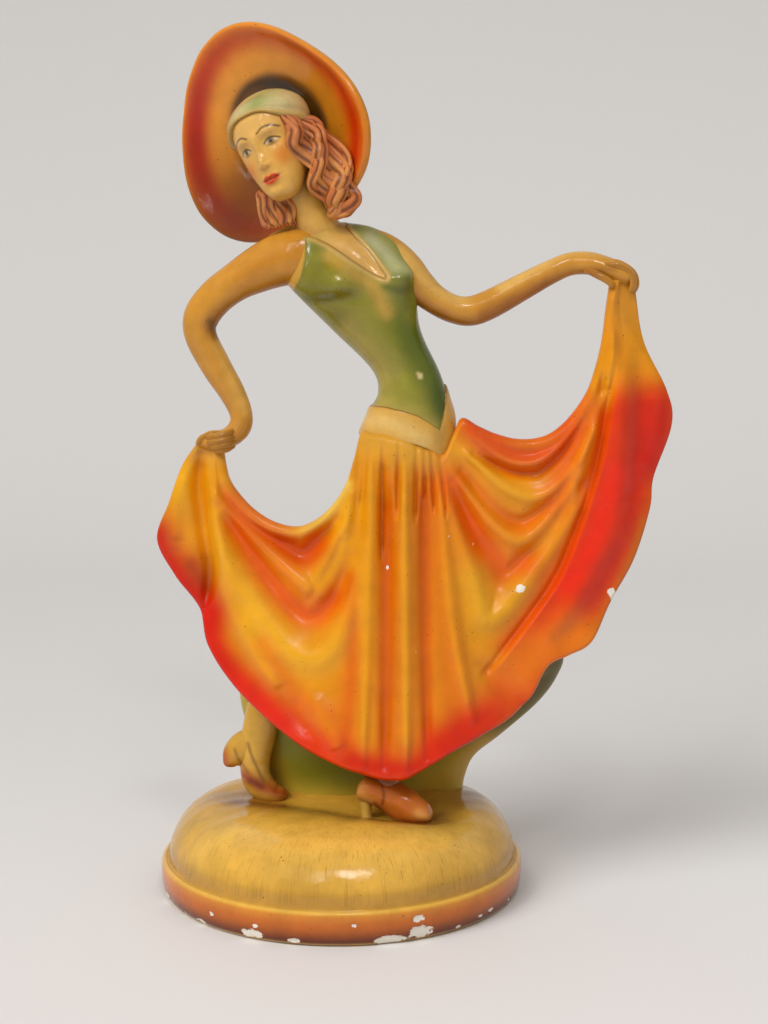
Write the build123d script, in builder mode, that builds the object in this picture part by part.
"""Chalkware dancing lady: a painted plaster figure lifting a wide skirt with both hands, on a domed base.

Millimetres, +Z up, the viewer looks along +Y. The origin is the centre of the ring the base stands on.
"Right" and "left" are the figure's own: its right hand is on the viewer's left.
"""
import math
import os

from build123d import *

# Base
base_radius = 81.0
base_foot_radius = 79.0
base_foot_ring_width = 9.0
base_band_height = 14.0
base_rim_ledge = 2.5
base_dome_top = 42.5
base_wall = 11.5
base_belly_height = 8.0
base_rim_draft = 0.6

# Fullness of the dome: radius of its rounded shoulder, as a share of the dome's rise
base_shoulder_share = 0.86

# Shallow well that the feet stand in: height, centre x, centre y, half width, half depth
foot_well_stations = [
    (36, -2.0, -8.0, 34.0, 10.0),
    (39, -2.0, -8.0, 46.0, 17.0),
    (44, -2.0, -8.0, 56.0, 24.0),
]

# How much of a quarter ellipse the hollow and the crown take, in degrees, before their small flat tops
dome_angle = 82

# Lengthwise stations of the body, from the hips to the shoulders:
# height, centre x, centre y, half width, half depth
torso_stations = [
    (188, 28.0, 4.0, 25.0, 17.5),
    (203, 30.0, 3.0, 21.5, 16.0),
    (214, 31.0, 2.0, 18.0, 14.5),
    (222, 31.5, 1.0, 15.0, 13.0),
    (232, 28.0, 1.0, 14.8, 12.5),
    (249, 15.5, 0.0, 19.5, 14.5),
    (266, 6.0, 0.0, 27.0, 15.5),
    (278, 0.0, 1.0, 30.0, 13.5),
    (287, -4.0, 2.0, 29.0, 10.5),
    (293, -5.0, 3.0, 19.0, 7.0),
]
bust_radius = 10.5
bust_centres = [(18, -7, 269), (-3, -8, 267)]

# Neckline and neck
neckline = [
    (-15, 297), (-15, 288), (-4, 280), (5, 274), (17, 269), (21, 270), (20, 275), (15, 283),
    (8, 290), (8, 297),
]
neckline_back_y = -1.0
neck_stations = [
    (284, -6.0, 2.0, 11.0, 7.5),
    (292, -8.5, 1.5, 9.0, 8.0),
    (300, -12.0, 0.5, 8.2, 8.0),
    (310, -17.0, 0.0, 8.2, 8.0),
]

# Hip band: edges in front view, and how far it stands proud of the body
band_low_edge = [(0, 204), (8, 203), (26, 201), (37, 196), (45, 193), (49, 202), (54, 213), (58, 215)]
band_high_edge = [
    (58, 225), (48, 219), (44, 211), (42, 205.5), (39, 206.5), (24, 213.5), (10, 215.5), (0, 216),
]
band_proud = 1.2

# Underskirt: height, centre x, centre y, half width, half depth. Flutes round its back: the turn
# from ridge to ridge in degrees, the depth, and the half width of the skirt where they die out
underskirt_stations = [
    (31.3, 10.0, 18.0, 45.0, 15.5),
    (40, 10.0, 18.0, 46.0, 16.0),
    (54, 10.0, 17.5, 51.0, 16.5),
    (64, 15.0, 17.0, 58.0, 17.0),
    (79, 21.5, 16.0, 68.0, 18.0),
    (92, 25.5, 13.0, 72.5, 20.0),
    (104, 26.0, 8.0, 74.0, 22.8),
    (120, 24.5, 6.5, 67.0, 20.5),
    (145, 24.0, 5.5, 47.0, 17.0),
    (170, 25.0, 5.0, 27.0, 15.0),
    (188, 27.0, 4.5, 21.0, 13.4),
    (205, 30.0, 3.0, 18.5, 12.4),
    (222, 31.0, 1.5, 16.0, 11.5),
]
flute_pitch = 40.0
flute_steps = 18
flute_depth = 5.0
flute_fade_width = 21.0
hollow_stations = [
    (12, 12.0, 19.0, 24.0, 7.0),
    (60, 16.0, 18.0, 32.0, 8.0),
    (100, 24.0, 12.0, 38.0, 11.0),
    (140, 24.0, 6.0, 30.0, 10.0),
    (172, 25.0, 5.0, 17.0, 8.0),
]

# Skirt sheet: top edge x, z, hem x, z, then the depth of the sheet at its top edge and at its hem
skirt_right_stations = [
    (-51, 196, -64, 198, -2, -2),
    (-50, 190, -70, 189, -3, 0),
    (-48.5, 184, -76, 173, -4, 2),
    (-45, 178, -82, 156, -4, 4),
    (-38, 170.5, -74, 140, -5, 2),
    (-29, 165, -63, 126, -6, -2),
    (-19, 163, -59, 110, -7, -6),
    (-11, 166, -48, 94, -8, -12),
    (-4, 172, -33, 80, -9, -18),
    (2, 181, -16, 68, -10, -24),
    (6, 193, 0, 60.5, -11, -28),
    (9, 204, 9, 58, -12, -30),
]
skirt_front_stations = [
    (9, 204, 9, 58, -12, -30),
    (13.5, 204, 13.5, 56.8, -12.5, -31),
    (18, 204, 18, 56, -13, -32),
    (22.5, 203, 22.5, 55.7, -13, -32.5),
    (27, 202, 27, 56, -13, -33),
    (31.5, 200, 32, 58.2, -13, -33),
    (36, 198, 37, 61, -13, -32.5),
    (40.5, 196.5, 42.5, 64.2, -12.5, -32),
    (45, 195, 48, 67.5, -12, -31),
]
skirt_left_stations = [
    (45, 195, 48, 67.5, -12, -31),
    (49, 203, 61, 74, -11, -27),
    (53, 210.5, 73, 80, -9, -22),
    (60, 207.5, 83, 88.5, -7, -17),
    (67, 204, 91, 102, -6, -13),
    (76, 201.5, 100.5, 106, -5, -9),
    (85, 201.5, 111, 111.5, -4, -6),
    (93, 204.5, 119.5, 129, -4, -3),
    (101, 212, 130, 148, -3, 0),
    (108, 223, 137, 170, -3, 3),
    (112, 236, 138.5, 184, -3, 4),
    (114, 247, 146.5, 207, -3, 4),
    (115, 256, 143.5, 222, -3, 3),
    (116, 264, 133, 243, -3, 2),
    (117, 270, 129, 262, -3, 0),
    (118.5, 275, 128, 273, -3, -2),
]
skirt_thickness = 6.0
skirt_flare = 1.5
skirt_steps = 20
slices_per_span = 2

# Share of each fold that also shows on the back of the sheet
fold_through = 0.4

# Modelled folds of the skirt in front view: height of the ridge (below zero for a valley), half width, course
right_drape_folds = [
    (-4.0, 5.6, [(-51, 179), (-39, 166), (-28, 157), (-17, 151), (-10, 157), (-2, 166)]),
    (2.8, 4.4, [(-54, 177), (-37, 157), (-12, 136), (-8, 144), (1, 161), (5, 177)]),
    (-3.2, 5.5, [(-52, 172), (-41, 154), (-30, 138), (-19, 125), (-12, 123), (-3, 131), (5, 150)]),
    (3.2, 6.5, [(-55, 166), (-44, 139), (-22, 110), (-11, 107), (-2, 114), (5, 131), (9, 155)]),
    (-4.0, 4.0, [(-61, 194), (-62.5, 179), (-60, 160), (-58, 143), (-60, 126)]),
    (2.8, 5.0, [(-56, 190), (-54, 163), (-50, 139), (-33, 103), (-22, 90)]),
]
front_panel_folds = [
    (2.6, 3.4, [(13, 200), (12.5, 160), (10, 62)]),
    (-2.8, 3.6, [(20.3, 188), (20, 100), (19.5, 62)]),
    (2.6, 3.2, [(28, 190), (28.5, 60)]),
    (-2.4, 3.2, [(36.2, 184), (37, 110), (38, 66)]),
    (2.8, 3.6, [(43.5, 184), (46, 150), (50, 115), (57, 82)]),
]
left_drape_folds = [
    (3.0, 5.2, [(46, 189), (51, 162), (63, 126), (70, 126), (80, 138), (102, 172), (111, 196), (115, 219)]),
    (-3.2, 5.0, [(48, 183), (57, 165), (67, 149), (73, 143), (82, 150), (93, 163), (104, 181)]),
    (3.0, 4.2, [(47, 190), (64, 169), (74, 159), (83, 158), (93, 169), (103, 185), (114, 219)]),
    (-2.8, 3.6, [(53, 187), (67, 170), (80, 165), (93, 174), (103, 189)]),
    (2.8, 3.4, [(51, 199), (60, 191), (71, 181), (83, 176), (93, 179), (102, 189), (110, 205)]),
    (-2.8, 2.8, [(58, 195), (71, 188), (81, 186), (88, 187), (97, 196), (105, 209)]),
    (2.2, 2.6, [(54, 206), (63, 199), (74, 192), (83, 191), (91, 195), (100, 204), (107, 215)]),
    (-2.6, 4.0, [(117, 222), (112, 189), (101, 154), (84, 124), (68, 104)]),
    (3.2, 8.0, [(122, 235), (123, 210), (121, 176), (115, 152), (103, 130), (92, 117)]),
    (-2.8, 5.0, [(130, 238), (132, 215), (130, 190), (128, 172)]),
]
folds = right_drape_folds + front_panel_folds + left_drape_folds

# Arms and hands, all in one upright plane: x, z, heading in degrees, half thickness, half depth
arm_plane_y = 1.0
right_upper_arm_stations = [
    (-14, 281, 208, 12.0, 9.0),
    (-28, 278, 212, 11.5, 9.5),
    (-46, 269, 216, 8.5, 8.0),
    (-60.5, 254.5, 253, 8.0, 7.5),
]
right_forearm_stations = [
    (-60.5, 254.5, 253, 8.0, 7.5),
    (-61, 246, 283, 7.0, 6.8),
    (-54, 233, 300, 6.6, 6.2),
    (-47, 221, 297, 5.8, 5.5),
    (-43.5, 211, 280, 5.0, 4.8),
]
right_hand_stations = [
    (-43.5, 211, 280, 5.0, 4.8),
    (-45.5, 205, 235, 5.2, 5.4),
    (-51, 201.5, 200, 4.6, 6.0),
    (-59, 200, 185, 3.6, 5.2),
    (-65, 199, 195, 1.8, 3.0),
]
left_upper_arm_stations = [
    (14, 284, 325, 10.0, 8.0),
    (27, 275, 318, 8.5, 7.5),
    (40.5, 262, 328, 6.2, 6.2),
    (56.5, 256.5, 0, 6.4, 6.2),
]
left_forearm_stations = [
    (56.5, 256.5, 0, 6.4, 6.2),
    (66, 260, 25, 6.3, 6.0),
    (80, 267.5, 28, 5.8, 5.6),
    (99, 277, 25, 5.0, 4.8),
]
left_hand_stations = [
    (99, 277, 25, 5.0, 4.8),
    (108, 279.5, 5, 5.0, 5.6),
    (118, 278.5, -15, 4.8, 6.2),
    (127, 274.5, -35, 3.6, 5.4),
    (131, 270.5, -50, 1.8, 3.4),
]

# Reinforcing wire cast into each arm
wire_diameter = 1.6
wire_bend = 4.0
right_wire_course = [(-8, 280), (-28, 278.5), (-59, 255.5), (-46, 219), (-45.5, 206)]
left_wire_course = [(6, 282), (27, 275), (41, 262.5), (56, 257.5), (100, 277.5), (112, 279)]

# Head: centre, tilt to the figure's right, turn to the figure's right,
# then height above the centre, set back, half width, half depth
head_centre = (-27, -3, 328)
head_tilt = 24
head_turn = 26
head_stations = [
    (-23.5, -10.5, 4.5, 4.5),
    (-19, -8.5, 9.0, 9.0),
    (-11, -4.0, 12.8, 14.0),
    (-2, -1.0, 15.5, 17.5),
    (7, 0.5, 16.5, 19.0),
    (15, 1.0, 15.0, 17.5),
    (20.5, 1.5, 10.5, 12.5),
    (23.5, 2.0, 4.5, 5.5),
]
nose_bridge = 1.0
nose_tip = -8.0
nose_length = 3.4
nose_half_width = 2.3
cap_edge_height = 10.5
cap_slope = 14
cap_proud = 1.6

# Hair, as level slices: height, centre x, centre y, half width, half depth
hair_left_stations = [
    (338, -19.0, -9.0, 4.0, 6.0),
    (331, -12.0, -7.0, 7.0, 9.0),
    (322, -7.0, -6.0, 8.2, 10.0),
    (311, -1.5, -4.0, 8.2, 9.0),
    (303, 0.5, -3.0, 6.0, 7.0),
    (296, 3.0, -2.0, 2.5, 3.5),
]
hair_right_stations = [
    (313, -34.0, -8.0, 2.5, 3.5),
    (307, -31.0, -6.0, 6.0, 6.5),
    (300, -28.5, -5.0, 7.0, 7.5),
    (293, -26.0, -4.0, 4.0, 4.5),
]

# Hat: centre of the brim, turn and dip of its axis. The brim's outline is a little oval and has
# three soft lobes, each given as a share of the radius and the direction of its widest point
hat_centre = (-29.2, 14, 334.0)
hat_turn = 32
hat_dip = 9
brim_radius = 48.0
brim_oval = 0.043
brim_oval_turn = 8
brim_lobe = 0.074
brim_lobe_turn = 114
brim_points = 24
brim_edge_round = 1.6
brim_thickness = 4.5
brim_dish = 7.0
crown_radius = 23.0
crown_depth = 24.0

# Shoes and ankles
right_shoe_outline = [
    (-38, 67), (-47, 63), (-54, 56), (-53, 51), (-46, 49), (-42.5, 45), (-42, 36),
    (-26, 34), (-23.5, 44), (-29, 60), (-30, 67),
]
right_shoe_y = 4.0
left_shoe_outline = [
    (8, 52), (8.5, 32), (14, 32), (15, 41), (20, 39), (23, 31), (38, 31), (41.5, 38), (38, 44), (31, 50),
    (25, 56), (16, 56),
]
left_shoe_y = -19.0
shoe_width = 12.0
shoe_round = 2.0
right_leg_stations = [
    (62, -34.0, 4.0, 5.6, 5.2),
    (75, -32.0, 5.5, 6.4, 6.2),
    (88, -27.5, 7.0, 7.4, 7.0),
]
left_leg_stations = [
    (52, 20.5, -18.0, 5.4, 5.2),
    (68, 21.0, -10.0, 6.0, 6.0),
    (84, 21.5, -4.0, 6.5, 6.5),
]

# Half length of a front-view outline when it is carried through the whole figure
reach = base_radius


def brim_point(turn):
    """Point of the hat brim's outline, by degrees round the hat from the viewer's right."""
    oval = brim_oval * math.cos(math.radians(2 * (turn - brim_oval_turn)))
    lobe = brim_lobe * math.cos(math.radians(3 * (turn - brim_lobe_turn)))
    radius = brim_radius * (1 + oval + lobe)
    return (radius * math.cos(math.radians(turn)), radius * math.sin(math.radians(turn)))


def fold_height(x, z):
    """Sum of the ridges and valleys at a point of the front view, each falling off like a bell curve."""
    total = 0.0
    for height, half_width, course in folds:
        nearest = min(
            segment_distance(x, z, start, end) for start, end in zip(course, course[1:])
        )
        total += height * math.exp(-((nearest / half_width) ** 2))
    return total


def segment_distance(x, z, start, end):
    """Distance from a point to a straight piece of a fold's course."""
    run_x = end[0] - start[0]
    run_z = end[1] - start[1]
    along = ((x - start[0]) * run_x + (z - start[1]) * run_z) / (run_x**2 + run_z**2)
    along = min(1.0, max(0.0, along))
    return math.hypot(x - start[0] - along * run_x, z - start[1] - along * run_z)


def between(stations):
    """The given stations with more filled in, each number on a smooth curve through its neighbours."""
    filled = []
    for number in range(len(stations) - 1):
        here, there = stations[number], stations[number + 1]
        before = stations[max(number - 1, 0)]
        after = stations[min(number + 2, len(stations) - 1)]
        for step in range(slices_per_span):
            share = step / slices_per_span
            bend = share * (1 - share) / 2
            filled.append(tuple(
                b + (c - b) * share + bend * ((1 - share) * (2 * b - a - c) + share * (2 * c - b - d))
                for a, b, c, d in zip(before, here, there, after)
            ))
    return filled + [stations[-1]]


def sheet_section(station):
    """One slice of the skirt sheet from its top edge to its hem, with the folds on its front."""
    top_x, top_z, hem_x, hem_z, top_y, hem_y = station
    length = math.hypot(hem_x - top_x, hem_z - top_z)
    run = Vector((hem_x - top_x) / length, 0, (hem_z - top_z) / length)
    plane = Plane(origin=(top_x, 0, top_z), x_dir=run, z_dir=run.cross(Vector(0, -1, 0)))
    front = []
    back = []
    for step in range(skirt_steps + 1):
        share = step / skirt_steps
        ridge = fold_height(top_x + share * (hem_x - top_x), top_z + share * (hem_z - top_z))
        middle = -(top_y + (hem_y - top_y) * share**skirt_flare)
        front.append((share * length, middle + skirt_thickness / 2 + ridge))
        back.append((share * length, middle - skirt_thickness / 2 + fold_through * ridge))
    with BuildSketch(plane) as section:
        with BuildLine():
            Spline(*front)
            Line(front[-1], back[-1])
            Spline(*reversed(back[::2]))
            Line(back[0], front[0])
        make_face()
    return section.sketch


def level_section(station, grow=0.0):
    """A level oval slice of the body, the neck, a leg or the hair."""
    height, centre_x, centre_y, half_width, half_depth = station
    with BuildSketch(Plane.XY.offset(height)) as section:
        with Locations((centre_x, centre_y)):
            Ellipse(half_width + grow, half_depth + grow)
    return section.sketch


def fluted_section(station):
    """A level slice of the underskirt: half an oval in front, soft flutes round the back."""
    height, centre_x, centre_y, half_width, half_depth = station
    depth = flute_depth * max(0.0, 1 - flute_fade_width / half_width)
    back = []
    shares = [step / flute_steps for step in range(flute_steps + 1)]
    for share in shares:
        turn = 180 * share - 90
        sine = math.sin(math.radians(turn))
        cosine = math.cos(math.radians(turn))
        dip = depth * cosine * (1 - math.cos(2 * math.pi * turn / flute_pitch)) / 2
        back.append((centre_x - half_width * sine, centre_y + half_depth * cosine - dip))
    with BuildSketch(Plane.XY.offset(height)) as section:
        with BuildLine():
            add(Edge.make_spline(back, tangents=((0, 1), (0, -1)), parameters=shares))
            EllipticalCenterArc((centre_x, centre_y), half_width, half_depth, start_angle=180, arc_size=180)
        make_face()
    return section.sketch


def limb_section(station):
    """An oval slice across an arm or hand, square to its heading."""
    x, z, heading, half_thickness, half_depth = station
    along = Vector(math.cos(math.radians(heading)), 0, math.sin(math.radians(heading)))
    with BuildSketch(Plane(origin=(x, arm_plane_y, z), x_dir=(0, 1, 0), z_dir=along)) as section:
        Ellipse(half_depth, half_thickness)
    return section.sketch


def front_prism(outline):
    """A front-view outline carried through the whole depth of the figure."""
    with BuildPart() as prism:
        with BuildSketch(Plane.XZ):
            with BuildLine():
                Polyline(*outline, close=True)
            make_face()
        extrude(amount=reach, both=True)
    return prism.part


os.makedirs("parts", exist_ok=True)

# Casting hollow, open through the base and running up inside the underskirt
with BuildPart() as casting_hollow:
    loft([level_section(station) for station in hollow_stations])

# Base: domed plinth, hollow and open below, standing on a flat ring. The flat arc over the top
# is tangent to the rounded shoulder.
dome_radius = base_radius - base_rim_ledge
dome_rise = base_dome_top - base_band_height
shoulder_radius = base_shoulder_share * dome_rise
top_radius = (dome_radius**2 + dome_rise**2 - 2 * dome_radius * shoulder_radius) / (
    2 * (dome_rise - shoulder_radius)
)
top_angle = math.degrees(math.atan2(dome_radius - shoulder_radius, top_radius - dome_rise))

with BuildPart() as foot_well:
    loft([level_section(station) for station in foot_well_stations])

with BuildPart() as base_plinth:
    with BuildSketch(Plane.XZ):
        with BuildLine():
            shoulder = CenterArc(
                (dome_radius - shoulder_radius, base_band_height), shoulder_radius, 0, 90 - top_angle
            )
            dome = CenterArc((0, base_dome_top - top_radius), top_radius, 90 - top_angle, top_angle)
            cavity = EllipticalCenterArc(
                (0, base_band_height - base_wall),
                base_foot_radius - base_foot_ring_width,
                dome_rise,
                start_angle=0,
                arc_size=dome_angle,
            )
            rim = (base_radius - base_rim_draft, base_band_height)
            widest = (base_radius, base_belly_height)
            Polyline(shoulder @ 0, rim, widest, (base_foot_radius, 0), ((cavity @ 0).X, 0), cavity @ 0)
            Polyline(dome @ 1, (0, (cavity @ 1).Y), cavity @ 1)
        make_face()
    revolve(axis=Axis.Z)
    add(casting_hollow.part, mode=Mode.SUBTRACT)
    add(foot_well.part, mode=Mode.SUBTRACT)

# Skirt sheet in three panels that meet along the slices they share
band_and_above = front_prism(band_low_edge + [(58, 250), (0, 250)])

with BuildPart() as skirt_right_drape:
    loft([sheet_section(station) for station in between(skirt_right_stations)], ruled=True)
    add(band_and_above, mode=Mode.SUBTRACT)

with BuildPart() as skirt_front_panel:
    loft([sheet_section(station) for station in between(skirt_front_stations)], ruled=True)
    add(band_and_above, mode=Mode.SUBTRACT)

with BuildPart() as skirt_left_drape:
    loft([sheet_section(station) for station in between(skirt_left_stations)], ruled=True)
    add(band_and_above, mode=Mode.SUBTRACT)

# Body
with BuildPart() as torso:
    loft([level_section(station) for station in torso_stations])
    with Locations(*bust_centres):
        Sphere(bust_radius)

with BuildPart() as hip_band:
    loft([level_section(station, band_proud) for station in torso_stations[:5]])
    add(front_prism(band_low_edge + band_high_edge), mode=Mode.INTERSECT)

with BuildPart() as chest:
    add(torso.part)
    add(front_prism(neckline), mode=Mode.INTERSECT)
    with Locations((0, neckline_back_y + reach / 2, neckline[0][1])):
        Box(2 * reach, reach, 2 * reach, mode=Mode.SUBTRACT)

# Wires and the arms cast round them
with BuildPart() as right_arm_wire:
    with BuildLine() as right_wire_path:
        FilletPolyline(*[(x, arm_plane_y, z) for x, z in right_wire_course], radius=wire_bend)
    with BuildSketch(Plane(origin=right_wire_path.line @ 0, z_dir=right_wire_path.line % 0)):
        Circle(wire_diameter / 2)
    sweep(path=right_wire_path.line)

with BuildPart() as left_arm_wire:
    with BuildLine() as left_wire_path:
        FilletPolyline(*[(x, arm_plane_y, z) for x, z in left_wire_course], radius=wire_bend)
    with BuildSketch(Plane(origin=left_wire_path.line @ 0, z_dir=left_wire_path.line % 0)):
        Circle(wire_diameter / 2)
    sweep(path=left_wire_path.line)

with BuildPart() as bodice:
    add(torso.part)
    add(front_prism(band_high_edge + [(0, 150), (58, 150)]), mode=Mode.SUBTRACT)
    add(chest.part, mode=Mode.SUBTRACT)
    add(right_arm_wire.part, mode=Mode.SUBTRACT)
    add(left_arm_wire.part, mode=Mode.SUBTRACT)

with BuildPart() as right_upper_arm:
    loft([limb_section(station) for station in right_upper_arm_stations])
    add(torso.part, mode=Mode.SUBTRACT)
    add(right_arm_wire.part, mode=Mode.SUBTRACT)

with BuildPart() as right_forearm:
    loft([limb_section(station) for station in right_forearm_stations])
    add(right_arm_wire.part, mode=Mode.SUBTRACT)

with BuildPart() as right_hand:
    loft([limb_section(station) for station in right_hand_stations])
    add(skirt_right_drape.part, mode=Mode.SUBTRACT)
    add(right_arm_wire.part, mode=Mode.SUBTRACT)

with BuildPart() as left_upper_arm:
    loft([limb_section(station) for station in left_upper_arm_stations])
    add(torso.part, mode=Mode.SUBTRACT)
    add(left_arm_wire.part, mode=Mode.SUBTRACT)

with BuildPart() as left_forearm:
    loft([limb_section(station) for station in left_forearm_stations])
    add(left_arm_wire.part, mode=Mode.SUBTRACT)

with BuildPart() as left_hand:
    loft([limb_section(station) for station in left_hand_stations])
    add(skirt_left_drape.part, mode=Mode.SUBTRACT)
    add(left_arm_wire.part, mode=Mode.SUBTRACT)

# Head, cap, hair and neck
head_plane = Plane(Location(head_centre, (0, -head_tilt, -head_turn)))
cap_plane = head_plane.offset(cap_edge_height).rotated((cap_slope, 0, 0))


def head_section(station, grow=0.0):
    """An oval slice of the head, square to its tilted axis."""
    height, set_back, half_width, half_depth = station
    with BuildSketch(head_plane.offset(height)) as section:
        with Locations((0, set_back)):
            Ellipse(half_width + grow, half_depth + grow)
    return section.sketch


with BuildPart() as head:
    loft([head_section(station) for station in head_stations])
    with BuildSketch(head_plane.offset(nose_bridge)):
        with Locations((0, -16)):
            Ellipse(nose_half_width * 0.5, 2.2)
    with BuildSketch(head_plane.offset(nose_tip)):
        with Locations((0, -15)):
            Ellipse(nose_half_width, nose_length + 1.6)
    loft()
    split(bisect_by=cap_plane, keep=Keep.BOTTOM)

with BuildPart() as cap:
    loft([head_section(station, cap_proud) for station in head_stations])
    split(bisect_by=cap_plane, keep=Keep.TOP)

with BuildPart() as neck_and_chest:
    loft([level_section(station) for station in neck_stations])
    add(chest.part)
    add(bodice.part, mode=Mode.SUBTRACT)
    add(head.part, mode=Mode.SUBTRACT)

with BuildPart() as hair_left:
    loft([level_section(station) for station in hair_left_stations])
    for neighbour in (head, cap, neck_and_chest, bodice):
        add(neighbour.part, mode=Mode.SUBTRACT)

with BuildPart() as hair_right:
    loft([level_section(station) for station in hair_right_stations])
    for neighbour in (head, cap, neck_and_chest, bodice):
        add(neighbour.part, mode=Mode.SUBTRACT)

# Hat: a dished brim worn like a halo and a shallow crown behind the head
hat_axis = Vector(0, -1, 0).rotate(Axis.X, hat_dip).rotate(Axis.Z, -hat_turn)
hat_side = Vector(0, 0, 1).cross(hat_axis).normalized()
hat_plane = Plane(origin=hat_centre, x_dir=hat_side, z_dir=hat_side.cross(hat_axis))
hat_line = Axis(hat_centre, hat_axis)

with BuildPart() as hat_brim:
    with BuildSketch(hat_plane):
        with BuildLine():
            reach_out = brim_radius * (1 + brim_oval + brim_lobe) + brim_edge_round
            back = Spline(
                (crown_radius, -brim_thickness),
                (brim_radius * 0.8, brim_dish * 0.1 - brim_thickness),
                (reach_out, brim_dish - brim_thickness),
            )
            front = Spline(
                (reach_out, brim_dish), (brim_radius * 0.8, brim_dish * 0.25), (crown_radius, 0)
            )
            Line(back @ 1, front @ 0)
            Line(front @ 1, back @ 0)
        make_face()
    revolve(axis=hat_line)
    with BuildSketch(Plane(origin=hat_centre, x_dir=hat_side, z_dir=hat_axis)):
        with BuildLine():
            Spline(*[brim_point(360 * step / brim_points) for step in range(brim_points)], periodic=True)
        make_face()
    extrude(amount=brim_radius, both=True, mode=Mode.INTERSECT)
    fillet(hat_brim.edges().group_by(SortBy.LENGTH)[-1], brim_edge_round)
    for neighbour in (head, cap, neck_and_chest, bodice, hair_left, hair_right):
        add(neighbour.part, mode=Mode.SUBTRACT)

with BuildPart() as hat_crown:
    with BuildSketch(hat_plane):
        with BuildLine():
            dome = EllipticalCenterArc(
                (0, -brim_thickness), crown_radius, crown_depth, start_angle=0, arc_size=-dome_angle
            )
            Polyline(dome @ 0, (crown_radius, 0), (0, 0), (0, (dome @ 1).Y), dome @ 1)
        make_face()
    revolve(axis=hat_line)
    for neighbour in (head, cap, neck_and_chest, bodice, hair_left, hair_right):
        add(neighbour.part, mode=Mode.SUBTRACT)

# Shoes, set into the dome of the base
with BuildPart() as right_shoe:
    with BuildSketch(Plane.XZ.offset(-right_shoe_y)):
        with BuildLine():
            Polyline(*right_shoe_outline, close=True)
        make_face()
    extrude(amount=shoe_width / 2, both=True)
    fillet(right_shoe.edges().filter_by(GeomType.LINE).filter_by(Plane.XZ), shoe_round)
    add(base_plinth.part, mode=Mode.SUBTRACT)

with BuildPart() as left_shoe:
    with BuildSketch(Plane.XZ.offset(-left_shoe_y)):
        with BuildLine():
            Polyline(*left_shoe_outline, close=True)
        make_face()
    extrude(amount=shoe_width / 2, both=True)
    fillet(left_shoe.edges().filter_by(GeomType.LINE).filter_by(Plane.XZ), shoe_round)
    add(base_plinth.part, mode=Mode.SUBTRACT)

# Underskirt, behind the sheet, and the ankles that come out of it
with BuildPart() as underskirt:
    loft([fluted_section(station) for station in underskirt_stations])
    add(casting_hollow.part, mode=Mode.SUBTRACT)
    add(band_and_above, mode=Mode.SUBTRACT)
    for neighbour in (base_plinth, right_shoe, left_shoe):
        add(neighbour.part, mode=Mode.SUBTRACT)

with BuildPart() as right_leg:
    loft([level_section(station) for station in right_leg_stations])
    for neighbour in (underskirt, right_shoe):
        add(neighbour.part, mode=Mode.SUBTRACT)

with BuildPart() as left_leg:
    loft([level_section(station) for station in left_leg_stations])
    for neighbour in (underskirt, left_shoe):
        add(neighbour.part, mode=Mode.SUBTRACT)

pieces = {
    "base_plinth": base_plinth,
    "underskirt": underskirt,
    "skirt_front_panel": skirt_front_panel,
    "skirt_right_drape": skirt_right_drape,
    "skirt_left_drape": skirt_left_drape,
    "right_leg": right_leg,
    "right_shoe": right_shoe,
    "left_leg": left_leg,
    "left_shoe": left_shoe,
    "hip_band": hip_band,
    "bodice": bodice,
    "neck_and_chest": neck_and_chest,
    "head": head,
    "cap": cap,
    "hair_left": hair_left,
    "hair_right": hair_right,
    "hat_brim": hat_brim,
    "hat_crown": hat_crown,
    "right_upper_arm": right_upper_arm,
    "right_forearm": right_forearm,
    "right_hand": right_hand,
    "left_upper_arm": left_upper_arm,
    "left_forearm": left_forearm,
    "left_hand": left_hand,
    "right_arm_wire": right_arm_wire,
    "left_arm_wire": left_arm_wire,
}
for name, piece in pieces.items():
    piece.part.label = name
    export_step(piece.part, f"parts/{name}.step")
    print(name, len(piece.part.solids()), round(piece.part.volume))
